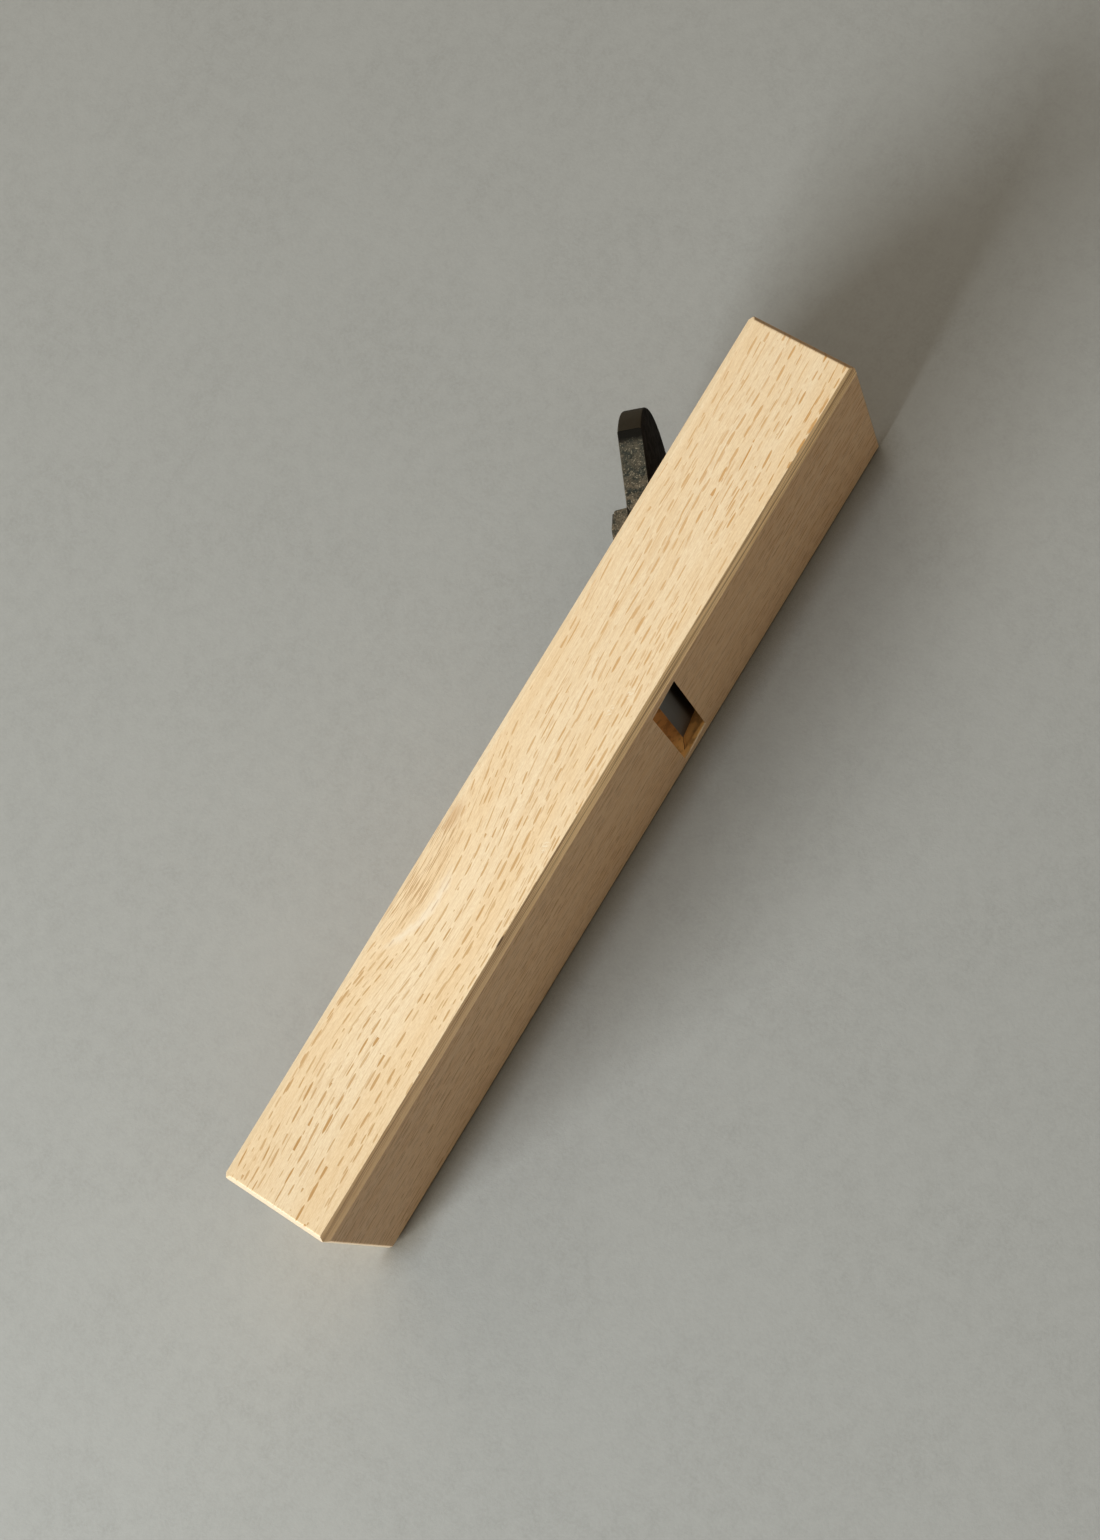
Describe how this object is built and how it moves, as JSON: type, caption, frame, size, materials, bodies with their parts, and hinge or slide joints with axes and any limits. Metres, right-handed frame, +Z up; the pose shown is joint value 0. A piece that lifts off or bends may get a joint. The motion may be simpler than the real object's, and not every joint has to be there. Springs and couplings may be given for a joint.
{
  "type": "japanese hand plane",
  "caption": "Wooden bench plane with a laminated blade wedged in side grooves, a chipbreaker held under a cross pin, and a rectangular mouth in its sole.",
  "frame": {"origin": "middle of the cheek that the plane lies on, on its resting face", "axes": "+X along the block from its tail end to its head end, +Y from the sole to the top that the blade sticks out of, +Z up from the resting cheek to the other cheek, as the plane lies in the picture"},
  "size_m": [0.25, 0.0544, 0.06],
  "materials": {
    "oak": "planed bare white oak with fine ray flecks along the grain",
    "forged_iron": "soft iron with black forge scale, mottled on its sides",
    "hard_steel": "ground and stoned carbon steel",
    "pin_steel": "drawn steel rod"
  },
  "bodies": {
    "body": {"block": "oak", "chipbreaker_pin": "pin_steel"},
    "blade": {"blade_iron": "forged_iron", "blade_steel": "hard_steel"},
    "chipbreaker": {"chipbreaker_iron": "forged_iron", "chipbreaker_steel": "hard_steel"}
  },
  "joints": [
    {"name": "blade_slide", "type": "slide", "parent": "body", "child": "blade", "axis": [0.7771, 0.6293, 0], "range_m": [-0.00435, 0.048]},
    {"name": "chipbreaker_slide", "type": "slide", "parent": "body", "child": "chipbreaker", "axis": [0.7771, 0.6293, 0], "range_m": [-0.005, 0.047]}
  ]
}
